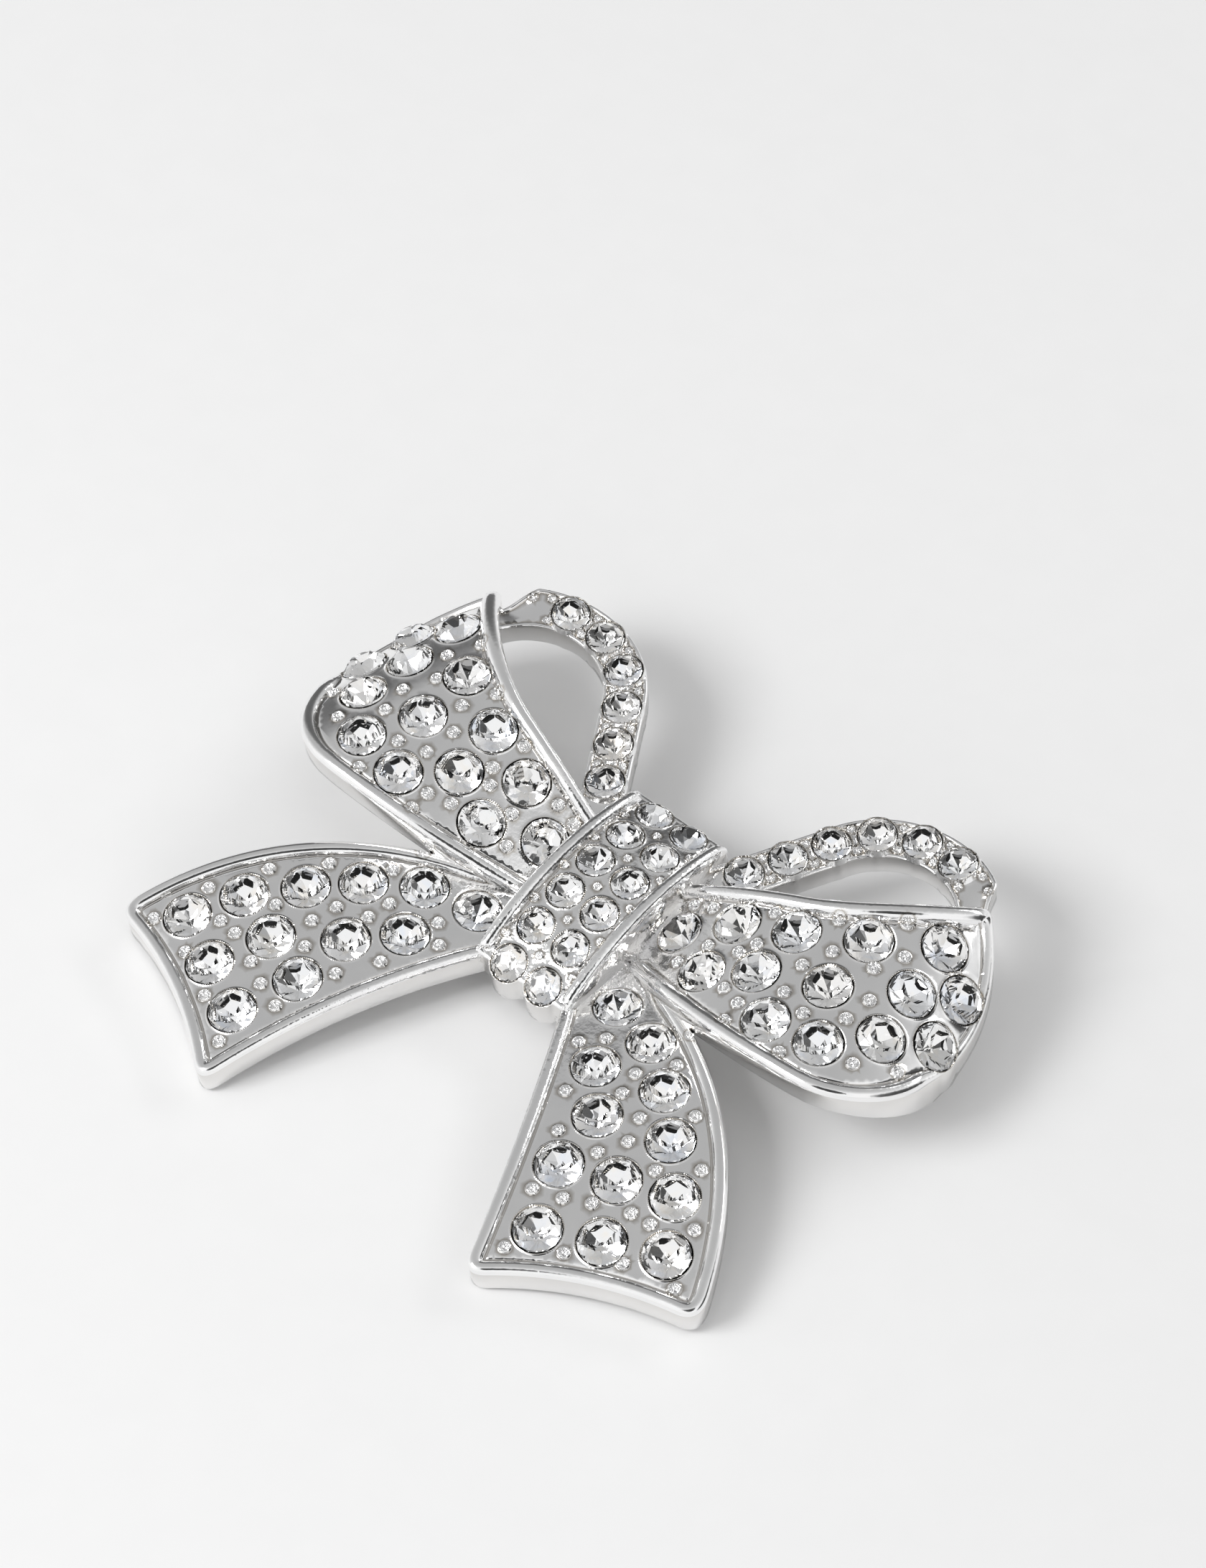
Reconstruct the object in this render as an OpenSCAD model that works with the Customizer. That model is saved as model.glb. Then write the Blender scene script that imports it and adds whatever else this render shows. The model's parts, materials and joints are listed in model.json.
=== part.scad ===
// Bow brooch: a ribbon bow cast in plated metal, set all over with round crystals,
// with a hinged pin and a turning safety catch on its back.
//
// The bow is drawn flat in its own plane: X to the wearer's left, Y to the top of
// the bow and Z out of its face. lie() then lays it on its back on a table, with
// the two tail tips, the hinge and the catch touching Z = 0.
// Every casting is an outline seen from the front, cut from an arched ribbon.

/* [Ribbon] */
// Height of a casting's edge, from the back to the top of the rim
ribbon_t = 2.2; // [2.2:0.1:2.5]
// Width of the raised rim
rim_w = 0.9; // [0.6:0.1:1]
// Height of the rim above the field it frames
rim_h = 0.4; // [0.2:0.1:0.5]
// Diameter of the small cast beads
bead_d = 0.86; // [0.6:0.02:0.9]

/* [Crystals] */
// Diameter of the crystals in the tails and the front of the loops
panel_stone_d = 3.1; // [2.8:0.1:3.2]
// Diameter of the crystals along the back of the loops
back_stone_d = 2.5; // [2.2:0.1:2.7]
// Diameter of the crystals on the knot
knot_stone_d = 2.4; // [2.1:0.1:2.5]
// Gap for the glue between a crystal and its seat
glue_gap = 0.04; // [0.02:0.01:0.06]

/* [Pin] */
// Length of the bar that carries the pin
bar_l = 28; // [26:0.5:30]
// Diameter of the pin wire
pin_d = 0.8; // [0.7:0.05:0.8]
// How far the pin is open
pin_open = 0; // [0:5:120]
// How far the lock is turned, 0 with its slot open
lock_turn = 0; // [0:5:100]

/* [Hidden] */
$fn = 48;
edge_steps = 10;     // straight steps in one curved edge of an outline
far = 20;            // reaches past the bow when something is cut away

// Crystal: heights as shares of its diameter, and the table's share of its width
pavilion = 0.4;
crown = 0.24;
half_girdle = 0.03;
table = 0.58;

// Lip round each pit in a panel
lip_w = 0.22;
lip_h = 0.14;
lip_root = 0.6;

// How it lies on a table
rest_tilt = 6.9;
rest_lift = 5.704;
rest_shift = 4.894;

// The plane on the back where the castings are soldered and the pin bar sits
back_z = -3;

// Knot: a band across the bow, arched along Y
knot_half_w = 3.9;
knot_r = 17;         // radius of its field
knot_y = -1.4;       // where the arch is highest
knot_top = 1.05;     // height of the field there
knot_half_l = 8.25;
knot_pitch = 9.8;    // angle from one row of crystals to the next
knot_rows = 6;
knot_stone_x = 1.42;

// Tail: its axes are S along the ribbon and W across it, towards the loop
tail_dir = -53.3;
tail_r = 55;         // radius of the rim's arch
tail_s = 19.5;       // where the arch is highest
tail_top = 0.45;
// Rows of crystals, from the tip: first and last place, and how many
tail_rows = [
    [[26.6, 5], [25.1, -2.9], 3],
    [[22.8, 5.3], [20.7, -1.9], 3],
    [[18.9, 4.8], [17.2, 0.2], 2],
    [[15.3, 4.2], [13.5, -0.2], 2],
    [[11.6, 3.1], [11.6, 3.1], 1],
    [[8.7, 0.8], [8.7, 0.8], 1]];
tail_beads = [
    [28.7, 5.6], [27.2, 2.4], [26.6, -1.2], [26.3, -4.8],
    [24.9, 6.6], [24.6, 3.9], [23.9, 2.7], [23.3, 0.3], [23, -1.5], [22.4, -3.4],
    [20.9, 6.8], [21, 4], [19.8, 0.4], [19, 2.2], [18.3, -2.1],
    [17.1, 6.2], [17.3, 2.8], [15.5, 1.6], [15.4, -1.9],
    [14, 2.3], [13.3, 4.8], [11.3, 0.3], [11.2, 5.6], [11.6, -1.4]];

// Loop: its axes are U along the ribbon and V across it, towards the top
loop_dir = 17;
loop_u = 17;         // where the arch is highest
loop_top = 2.9;
loop_r_in = 24.9;    // radius of the rim's arch towards the knot
loop_r_out = 10.9;   // and towards the fold at its far end
loop_rows = [
    [[5.3, -1.8]],
    [[8.1, -4.7], [8.9, -0.8]],
    [[11.6, -4.1], [12.9, -0.7]],
    [[13.6, -7.4], [16.3, -3.9], [17.4, 0.1]],
    [[17.3, -7.9], [21.1, -2.1], [21.7, 1.9]],
    [[20.6, -5.9], [23.5, -4.3], [23.7, -0.5]]];
loop_beads = [
    [19.8, 0], [19.1, 2.2], [22.7, 0.9], [19, -3.8], [18.4, -1.6],
    [18.2, -5.6], [15.6, -1.4], [19.7, -8.3], [15.1, 0.9], [14.2, -2.9],
    [15.6, -6.2], [13.9, -5.1], [15.3, -9.3], [10.8, -2.1], [11, 0.4],
    [11.4, -6.6], [9.9, -2.9], [11.1, -8], [10.1, -5.7], [7.7, -2.7], [6.8, 0.2],
    [6.2, -4.1], [5.4, 0.4], [22.2, -7.3]];

// Back of the loop: a straight run, then a turn of constant radius
turn_x = 14.6;
turn_y = 8.3;
turn_r = 6.4;        // to the middle of the ribbon
turn_start = 150;    // angle at which the straight run ends
turn_end = 20;
fold_u = 22.6;       // it ends level with the loop's fold
straight_l = 11;
back_w = 2.9;
back_top = -1.1;
rise_x = 11;         // from here it rises to meet the fold
rise_r = 40;
back_stones = 6;
back_pitch = 2.96;
back_first = -6.5;   // along the ribbon, from the start of the turn

// Pin, hinge and catch
bar_y = 3.5;
bar_w = 4;
bar_t = 0.7;
bar_hole_x = 7;
bar_hole_d = 1.5;
hinge_x = -12;
catch_x = 12;
pin_z = -4.95;
rivet_r = 0.45;
ear_t = 0.6;
ear_gap = 1.5;
ear_r = 0.95;
eye_r = 0.95;
eye_w = 1.4;
bore_gap = 0.03;     // running clearance of the eye on the rivet
press_gap = 0.01;
stem_l = 26.6;
point_l = 4.7;
barrel_r = 1.25;
barrel_bore_r = 0.9;
barrel_l = 2.4;
lock_r = 0.86;
lock_bore_r = 0.45;
slot_w = 0.9;
collar_r = 1.1;
collar_t = 0.7;
end_gap = 0.06;
tab_reach = 2.1;

SIDES = ["left", "right"];
TAIL_NAMES = [for (side = SIDES, i = [1 : len(tail_rows)]) str(side, "_tail_crystals_", i)];
LOOP_NAMES = [for (side = SIDES, i = [1 : len(loop_rows)]) str(side, "_loop_crystals_", i)];

// ---- Curves -------------------------------------------------------------------

// Points of an arc from a to b, without b. rise is its height over the chord,
// to the left of the way from a to b.
function arc(a, b, rise) =
    let (way = b - a, chord = norm(way), along = way / chord,
         left = [-along.y, along.x],
         r = (chord * chord / 4 + rise * rise) / (2 * rise),
         half = asin(chord / 2 / r))
    [for (i = [0 : edge_steps - 1])
        let (t = half * (2 * i / edge_steps - 1))
        (a + b) / 2 + along * r * sin(t) + left * (rise - r + r * cos(t))];

// Places spaced evenly from a row's first to its last
function row_places(row) =
    [for (i = [0 : row[2] - 1]) row[0] + (row[1] - row[0]) * i / max(row[2] - 1, 1)];

// ---- Frames of the ribbons ----------------------------------------------------

module lie() {
    translate([0, rest_shift, rest_lift])
        rotate([rest_tilt, 0, 0])
            children();
}

module on_side(side) {
    if (side == "left") mirror([1, 0, 0]) children();
    else children();
}

// Puts its children on an arch at distance r from the arch's axis, Z outwards.
// The arch runs along X and is highest at x = top_x, where r reaches z = top.
module on_arch(place, top_x, top, r) {
    translate([top_x, 0, top - r])
        rotate([0, asin((place.x - top_x) / r), 0])
            translate([0, place.y, r])
                children();
}

module on_tail(place) {
    rotate([0, 0, tail_dir])
        on_arch(place, tail_s, tail_top - rim_h, tail_r - rim_h)
            children();
}

module on_loop(place) {
    rotate([0, 0, loop_dir])
        on_arch(place, loop_u, loop_top - rim_h,
                (place.x < loop_u ? loop_r_in : loop_r_out) - rim_h)
            children();
}

module on_knot(x, angle) {
    translate([x, knot_y, knot_top - knot_r])
        rotate([-angle, 0, 0])
            translate([0, 0, knot_r])
                children();
}

function knot_angle(i) = ((knot_rows - 1) / 2 - i) * knot_pitch;

// A point of the back ribbon's middle line, at a distance along it
function back_angle(along) = turn_start - max(along, 0) / turn_r * 180 / PI;
function back_place(along) =
    let (a = back_angle(along))
    [turn_x + turn_r * cos(a), turn_y + turn_r * sin(a)]
    + min(along, 0) * [sin(a), -cos(a)];
function back_slope(x) = asin(max(x - rise_x, 0) / rise_r);

module on_back(along, across = 0) {
    a = back_angle(along);
    place = back_place(along) + across * [cos(a), sin(a)];
    slope = back_slope(place.x);
    translate([place.x, place.y, back_top + rise_r * (1 - cos(slope))])
        rotate([0, -slope, 0])
            children();
}

// ---- Crystals, seats and beads ------------------------------------------------

// A round brilliant standing on its girdle: table, crown, girdle and pavilion
module crystal(d) {
    r = d / 2;
    color([0.86, 0.9, 0.96, 0.6])
        rotate_extrude()
            polygon([[0, -pavilion * d], [r, -half_girdle * d], [r, half_girdle * d],
                     [table * r, crown * d], [0, crown * d]]);
}

// The pit that holds it, open upwards
module seat(d) {
    r = d / 2 + glue_gap;
    rotate_extrude()
        polygon([[0, -pavilion * d - 2 * glue_gap], [r, -half_girdle * d - glue_gap], [r, d], [0, d]]);
}

// The low lip round a pit
module seat_lip(d) {
    translate([0, 0, -lip_root])
        cylinder(r = d / 2 + lip_w, h = lip_root + lip_h);
}

module bead() {
    sphere(d = bead_d);
}

// ---- Outlines and arches --------------------------------------------------------

module upright(z0 = -far) {
    translate([0, 0, z0]) linear_extrude(far - z0) children();
}

module tail_outline() {
    outer_tip = [30.7, 6.9];
    inner_tip = [28.3, -7.4];
    outer_root = [7, 3.4];
    inner_root = [8, -2.6];
    corner_r = 1;
    offset(r = corner_r) offset(delta = -corner_r)
        polygon(concat(
            arc(outer_root, outer_tip, 2.9),
            arc(outer_tip, inner_tip, -1),
            arc(inner_tip, inner_root, -0.5),
            [inner_root, [4.5, -1]]));
}

module loop_outline() {
    root_low = [2.5, -4.5];
    low = [16.8, -11.1];
    fold_low = [24, -6.6];
    fold_high = [23.3, 5.8];
    high = [13, 1.95];
    root_high = [2.5, 2.1];
    corner_r = 0.5;
    offset(r = corner_r) offset(delta = -corner_r)
        polygon(concat(
            arc(root_low, low, -0.8),
            arc(low, fold_low, -1.6),
            arc(fold_low, fold_high, -0.8),
            arc(fold_high, high, 0.75),
            arc(high, root_high, 0.1),
            [root_high]));
}

module knot_outline() {
    translate([-knot_half_w, knot_y - knot_half_l])
        square([2 * knot_half_w, 2 * knot_half_l]);
}

module back_outline() {
    inner_r = turn_r - back_w / 2;
    difference() {
        union() {
            intersection() {
                translate([turn_x, turn_y]) circle(r = turn_r + back_w / 2);
                translate([turn_x, turn_y])
                    polygon([[0, 0], 2 * far * [cos(turn_start), sin(turn_start)],
                             2 * far * [0, 1], 2 * far * [cos(turn_end), sin(turn_end)]]);
                rotate(loop_dir) translate([fold_u - 2 * far, -far]) square(2 * far);
            }
            translate([turn_x, turn_y])
                rotate(turn_start)
                    translate([inner_r, 0])
                        square([back_w, straight_l]);
        }
        translate([turn_x, turn_y]) circle(r = inner_r);
    }
}

// The solid under a tail's arch, a level below its rim
module tail_arch(level) {
    translate([tail_s, far, tail_top - tail_r])
        rotate([90, 0, 0])
            cylinder(r = tail_r - level, h = 2 * far);
}

// The solid under a loop's arch, a level below its rim
module loop_arch(level) {
    translate([0, far, 0])
        rotate([90, 0, 0])
            linear_extrude(2 * far)
                for (half = [[loop_r_in, -2 * far], [loop_r_out, 0]])
                    translate([loop_u, loop_top - half[0]])
                        intersection() {
                            circle(r = half[0] - level);
                            translate([half[1], 0]) square(2 * far);
                        }
}

// All that lies over the back ribbon's top, or over a line at a depth under it
module over_rise(depth) {
    translate([0, back_top - depth]) square([rise_x, far + depth]);
    intersection() {
        translate([rise_x, back_top + rise_r]) circle(r = rise_r + depth);
        translate([rise_x, back_top - depth]) square([far, far + depth]);
    }
}

// Cross-section of the back ribbon along X: level, then rising in a curve
module back_profile() {
    difference() {
        over_rise(ribbon_t - rim_h);
        over_rise(0);
    }
}

// ---- Castings -----------------------------------------------------------------

module plated() {
    color([0.82, 0.82, 0.84]) children();
}

// A length of ribbon: an outline cut from an arch, with a sunken field.
// The children are the outline, the outline of the field, the solids under the
// rim, the field and the back of the arch, and then what stands on the field.
module ribbon() {
    difference() {
        intersection() {
            upright(back_z) children(0);
            children(2);
        }
        children(4);
        difference() {
            upright(back_z) children(1);
            children(3);
        }
    }
}

// What the ribbons leave free: the parts that lie over them in the bow
module knot_space() {
    upright() knot_outline();
}

module loop_space() {
    rotate([0, 0, loop_dir]) upright() loop_outline();
}

module tail() {
    plated()
        difference() {
            union() {
                rotate([0, 0, tail_dir])
                    ribbon() {
                        tail_outline();
                        offset(delta = -rim_w) tail_outline();
                        tail_arch(0);
                        tail_arch(rim_h);
                        tail_arch(ribbon_t);
                    }
                for (row = tail_rows, place = row_places(row))
                    on_tail(place) seat_lip(panel_stone_d);
                for (place = tail_beads)
                    on_tail(place) bead();
            }
            for (row = tail_rows, place = row_places(row))
                on_tail(place) seat(panel_stone_d);
            loop_space();
            knot_space();
        }
}

module loop_front() {
    plated()
        difference() {
            union() {
                rotate([0, 0, loop_dir])
                    ribbon() {
                        loop_outline();
                        offset(delta = -rim_w) loop_outline();
                        loop_arch(0);
                        loop_arch(rim_h);
                        loop_arch(ribbon_t);
                    }
                for (row = loop_rows, place = row)
                    on_loop(place) seat_lip(panel_stone_d);
                for (place = loop_beads)
                    on_loop(place) bead();
            }
            for (row = loop_rows, place = row)
                on_loop(place) seat(panel_stone_d);
            knot_space();
        }
}

module loop_back() {
    plated()
        difference() {
            intersection() {
                upright(back_z) back_outline();
                translate([0, far, 0])
                    rotate([90, 0, 0])
                        linear_extrude(2 * far)
                            back_profile();
            }
            for (i = [0 : back_stones - 1])
                on_back(back_first + i * back_pitch) seat(back_stone_d);
            loop_space();
            knot_space();
        }
}

// The knot's arch, extruded across a width, with its top a level over the field
module knot_arch(w, level) {
    rotate([90, 0, 90])
        linear_extrude(w, center = true)
            intersection() {
                translate([knot_y, knot_top - knot_r]) circle(r = knot_r + level);
                translate([knot_y - knot_half_l, back_z]) square([2 * knot_half_l, far]);
            }
}

module knot_band() {
    plated()
        difference() {
            union() {
                knot_arch(2 * knot_half_w, 0);
                for (side = [-1, 1])
                    translate([side * (knot_half_w - rim_w / 2), 0, 0])
                        knot_arch(rim_w, rim_h);
            }
            for (side = [-1, 1], i = [0 : knot_rows - 1])
                on_knot(side * knot_stone_x, knot_angle(i)) seat(knot_stone_d);
        }
}

// ---- Crystals in their places -------------------------------------------------

module tail_crystals(row) {
    for (place = row_places(row))
        on_tail(place) crystal(panel_stone_d);
}

module loop_crystals(row) {
    for (place = row)
        on_loop(place) crystal(panel_stone_d);
}

module loop_back_crystals() {
    for (i = [0 : back_stones - 1])
        on_back(back_first + i * back_pitch) crystal(back_stone_d);
}

module knot_crystals() {
    for (i = [0 : knot_rows - 1])
        on_knot(knot_stone_x, knot_angle(i)) crystal(knot_stone_d);
}

// ---- Pin, hinge and catch -----------------------------------------------------

module steel() {
    color([0.72, 0.72, 0.74]) children();
}

module pin_bar() {
    steel()
        translate([0, bar_y, back_z - bar_t])
            linear_extrude(bar_t)
                difference() {
                    union() {
                        square([bar_l - bar_w, bar_w], center = true);
                        for (end = [-1, 1])
                            translate([end * (bar_l - bar_w) / 2, 0]) circle(d = bar_w);
                    }
                    for (end = [-1, 1])
                        translate([end * bar_hole_x, 0]) circle(d = bar_hole_d);
                }
}

// Two ears on a thin foot, bored for the rivet
module hinge_block() {
    bar_under = back_z - bar_t;
    foot_t = 0.2;
    steel()
        translate([hinge_x, bar_y, 0])
            difference() {
                union() {
                    translate([-ear_r, -ear_gap / 2 - ear_t, bar_under - foot_t])
                        cube([2 * ear_r, ear_gap + 2 * ear_t, foot_t]);
                    for (side = [-1, 1])
                        translate([0, side * (ear_gap + ear_t) / 2, 0])
                            rotate([90, 0, 0])
                                linear_extrude(ear_t, center = true) {
                                    translate([0, pin_z]) circle(r = ear_r);
                                    translate([-ear_r, pin_z])
                                        square([2 * ear_r, bar_under - pin_z]);
                                }
                }
                translate([0, 0, pin_z])
                    rotate([90, 0, 0])
                        cylinder(r = rivet_r + press_gap, h = 4 * ear_t + 2 * ear_gap, center = true);
            }
}

module hinge_rivet() {
    shank_l = ear_gap + 2 * ear_t;
    head_r = 0.75;
    head_t = 0.25;
    steel()
        translate([hinge_x, bar_y, pin_z])
            rotate([90, 0, 0])
                rotate_extrude()
                    polygon([[0, -shank_l / 2 - head_t], [head_r - head_t, -shank_l / 2 - head_t],
                             [head_r, -shank_l / 2], [rivet_r, -shank_l / 2],
                             [rivet_r, shank_l / 2], [head_r, shank_l / 2],
                             [head_r - head_t, shank_l / 2 + head_t], [0, shank_l / 2 + head_t]]);
}

// Wire with an eye at the hinge and a ground point beyond the catch
module pin_stem() {
    steel()
        translate([hinge_x, bar_y, pin_z])
            rotate([0, pin_open, 0])
                difference() {
                    union() {
                        rotate([90, 0, 0])
                            cylinder(r = eye_r, h = eye_w, center = true);
                        rotate([0, 90, 0])
                            rotate_extrude()
                                polygon([[0, 0], [pin_d / 2, 0], [pin_d / 2, stem_l - point_l],
                                         [0.05, stem_l], [0, stem_l]]);
                    }
                    rotate([90, 0, 0])
                        cylinder(r = rivet_r + bore_gap, h = 2 * eye_w, center = true);
                }
}

// A barrel on a foot, open towards the wearer for the pin to swing in
module catch_block() {
    foot_w = 1.7;
    steel()
        translate([catch_x, bar_y, pin_z])
            difference() {
                union() {
                    rotate([0, 90, 0])
                        cylinder(r = barrel_r, h = barrel_l, center = true);
                    translate([-barrel_l / 2, -foot_w / 2, 0])
                        cube([barrel_l, foot_w, back_z - bar_t - pin_z]);
                }
                rotate([0, 90, 0])
                    cylinder(r = barrel_bore_r, h = 2 * barrel_l, center = true);
                translate([-barrel_l, -slot_w / 2, -2 * barrel_r])
                    cube([2 * barrel_l, slot_w, 2 * barrel_r]);
            }
}

// A slotted sleeve that turns in the barrel, with a collar at each end and a thumb tab
module catch_lock() {
    inner_l = barrel_l + 2 * end_gap;
    tab_t = 0.6;
    steel()
        translate([catch_x, bar_y, pin_z])
            rotate([-lock_turn, 0, 0])
                difference() {
                    union() {
                        rotate([0, 90, 0])
                            cylinder(r = lock_r, h = inner_l + 2 * collar_t, center = true);
                        for (end = [-1, 1])
                            translate([end * (inner_l + collar_t) / 2, 0, 0])
                                rotate([0, 90, 0])
                                    cylinder(r = collar_r, h = collar_t, center = true);
                        translate([inner_l / 2, 0, -tab_t / 2])
                            cube([collar_t, tab_reach - tab_t / 2, tab_t]);
                        translate([inner_l / 2, tab_reach - tab_t / 2, 0])
                            rotate([0, 90, 0])
                                cylinder(d = tab_t, h = collar_t);
                    }
                    rotate([0, 90, 0])
                        cylinder(r = lock_bore_r, h = 4 * barrel_l, center = true);
                    translate([-2 * barrel_l, -slot_w / 2, -2 * barrel_r])
                        cube([4 * barrel_l, slot_w, 2 * barrel_r]);
                }
}

// ---- Nodes --------------------------------------------------------------------

for (side = SIDES) {
    lie() on_side(side) tail();
    lie() on_side(side) loop_front();
    lie() on_side(side) loop_back();
    for (i = [0 : len(tail_rows) - 1])
        lie() on_side(side) tail_crystals(tail_rows[i]);
    for (i = [0 : len(loop_rows) - 1])
        lie() on_side(side) loop_crystals(loop_rows[i]);
    lie() on_side(side) loop_back_crystals();
    lie() on_side(side) knot_crystals();
}
lie() knot_band();
lie() pin_bar();
lie() hinge_block();
lie() hinge_rivet();
lie() pin_stem();
lie() catch_block();
lie() catch_lock();
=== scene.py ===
"""Bow brooch: plated castings, foiled crystals and the pin finding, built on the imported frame.

Castings and crystals are modelled in the bow's own plane, in millimetres: X to the right,
Y to the top of the bow and Z out of its face, as in the CAD. lie() takes them to the frame.
"""

import json
import math
import random

import bpy
import numpy as np
from mathutils import Matrix, Vector
from mathutils.geometry import delaunay_2d_cdt


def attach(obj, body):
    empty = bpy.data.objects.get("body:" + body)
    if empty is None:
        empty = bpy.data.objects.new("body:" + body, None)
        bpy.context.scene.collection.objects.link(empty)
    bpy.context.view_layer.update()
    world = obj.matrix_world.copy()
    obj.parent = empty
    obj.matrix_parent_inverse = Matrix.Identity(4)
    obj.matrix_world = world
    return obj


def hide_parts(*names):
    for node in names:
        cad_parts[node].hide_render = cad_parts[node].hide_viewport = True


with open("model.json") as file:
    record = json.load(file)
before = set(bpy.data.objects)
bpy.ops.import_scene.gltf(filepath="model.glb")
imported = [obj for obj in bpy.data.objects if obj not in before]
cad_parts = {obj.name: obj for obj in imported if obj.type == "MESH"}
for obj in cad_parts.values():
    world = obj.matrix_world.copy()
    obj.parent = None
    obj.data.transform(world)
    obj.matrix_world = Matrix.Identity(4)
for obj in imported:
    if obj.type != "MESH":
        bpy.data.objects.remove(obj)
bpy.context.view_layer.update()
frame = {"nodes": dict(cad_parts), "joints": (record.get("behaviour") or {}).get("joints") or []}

MM = 0.001

# ---- Sizes, in mm, as in the CAD -----------------------------------------------------

RIBBON_T = 2.2
RIM_W = 0.9
RIM_H = 0.4
BACK_Z = -3.0
PANEL_STONE = 3.1
BACK_STONE = 2.5
KNOT_STONE = 2.4
GLUE_GAP = 0.04

# A tail: how far it is turned, its rows of crystals as first place, last place and count, and
# its beads
TAIL_TURN = -53.3
TAIL_ROWS = [
    [(26.6, 5), (25.1, -2.9), 3],
    [(22.8, 5.3), (20.7, -1.9), 3],
    [(18.9, 4.8), (17.2, 0.2), 2],
    [(15.3, 4.2), (13.5, -0.2), 2],
    [(11.6, 3.1), (11.6, 3.1), 1],
    [(8.7, 0.8), (8.7, 0.8), 1]]
TAIL_BEADS = [
    (28.7, 5.6), (27.2, 2.4), (26.6, -1.2), (26.3, -4.8),
    (24.9, 6.6), (24.6, 3.9), (23.9, 2.7), (23.3, 0.3), (23, -1.5), (22.4, -3.4),
    (20.9, 6.8), (21, 4), (19.8, 0.4), (19, 2.2), (18.3, -2.1),
    (17.1, 6.2), (17.3, 2.8), (15.5, 1.6), (15.4, -1.9),
    (14, 2.3), (13.3, 4.8), (11.3, 0.3), (11.2, 5.6), (11.6, -1.4)]

# A loop's front: how far it is turned, its crystals and its beads
LOOP_TURN = 17.0
LOOP_ROWS = [
    [(5.3, -1.8)],
    [(8.1, -4.7), (8.9, -0.8)],
    [(11.6, -4.1), (12.9, -0.7)],
    [(13.6, -7.4), (16.3, -3.9), (17.4, 0.1)],
    [(17.3, -7.9), (21.1, -2.1), (21.7, 1.9)],
    [(20.6, -5.9), (23.5, -4.3), (23.7, -0.5)]]
LOOP_BEADS = [
    (19.8, 0), (19.1, 2.2), (22.7, 0.9), (19, -3.8), (18.4, -1.6),
    (18.2, -5.6), (15.6, -1.4), (19.7, -8.3), (15.1, 0.9), (14.2, -2.9),
    (15.6, -6.2), (13.9, -5.1), (15.3, -9.3), (10.8, -2.1), (11, 0.4),
    (11.4, -6.6), (9.9, -2.9), (11.1, -8), (10.1, -5.7), (7.7, -2.7), (6.8, 0.2),
    (6.2, -4.1), (5.4, 0.4), (22.2, -7.3)]

# The knot: a band arched along Y, with two columns of crystals
KNOT_HALF_W = 3.9
KNOT_R = 17.0
KNOT_Y = -1.4
KNOT_TOP = 1.05
KNOT_HALF_L = 8.25
KNOT_PITCH = 9.8           # between its rows, in degrees
KNOT_ROWS = 6
KNOT_STONE_X = 1.42

# A loop's back: a strand that runs straight, then turns clockwise about a centre and rises
# along an arc till it is under the front's fold. Lengths along it count from where it turns.
TURN_X = 14.6
TURN_Y = 8.3
TURN_R = 6.4
TURN_START = 150.0         # in degrees
STRAIGHT_L = 11.0
STRAND_W = 2.9
STRAND_TOP = -1.1
STRAND_T = RIBBON_T - RIM_H
RISE_X = 11.0
RISE_R = 40.0
FOLD_U = 22.6              # out along the front, where the fold cuts the strand off
STRAND_FIRST = -6.5        # its first crystal
STRAND_PITCH = 2.96
STRAND_STONES = 6
STRAND_END = 14.6

HINGE = (-12.0, 3.5, -4.95)  # the hinge's place in the bow's plane

# ---- From the bow's plane to the frame -----------------------------------------------

hinge_joint = [j for j in frame["joints"] if j["name"] == "pin_hinge"][0]
axis = hinge_joint["axis"]
tilt = np.array(Matrix.Rotation(math.atan2(axis[2], axis[1]), 3, "X"))
REST = np.array(hinge_joint["pos_m"]) / MM - tilt @ np.array(HINGE)


def lie(points):
    """Bow-plane millimetres to the frame's metres."""
    return (np.asarray(points, float) @ tilt.T + REST) * MM


def turned(points, degrees):
    """Points turned about Z."""
    a = math.radians(degrees)
    spin = np.array([[math.cos(a), -math.sin(a), 0], [math.sin(a), math.cos(a), 0], [0, 0, 1]])
    return points @ spin.T


# ---- Ribbons unrolled flat -----------------------------------------------------------

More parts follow.
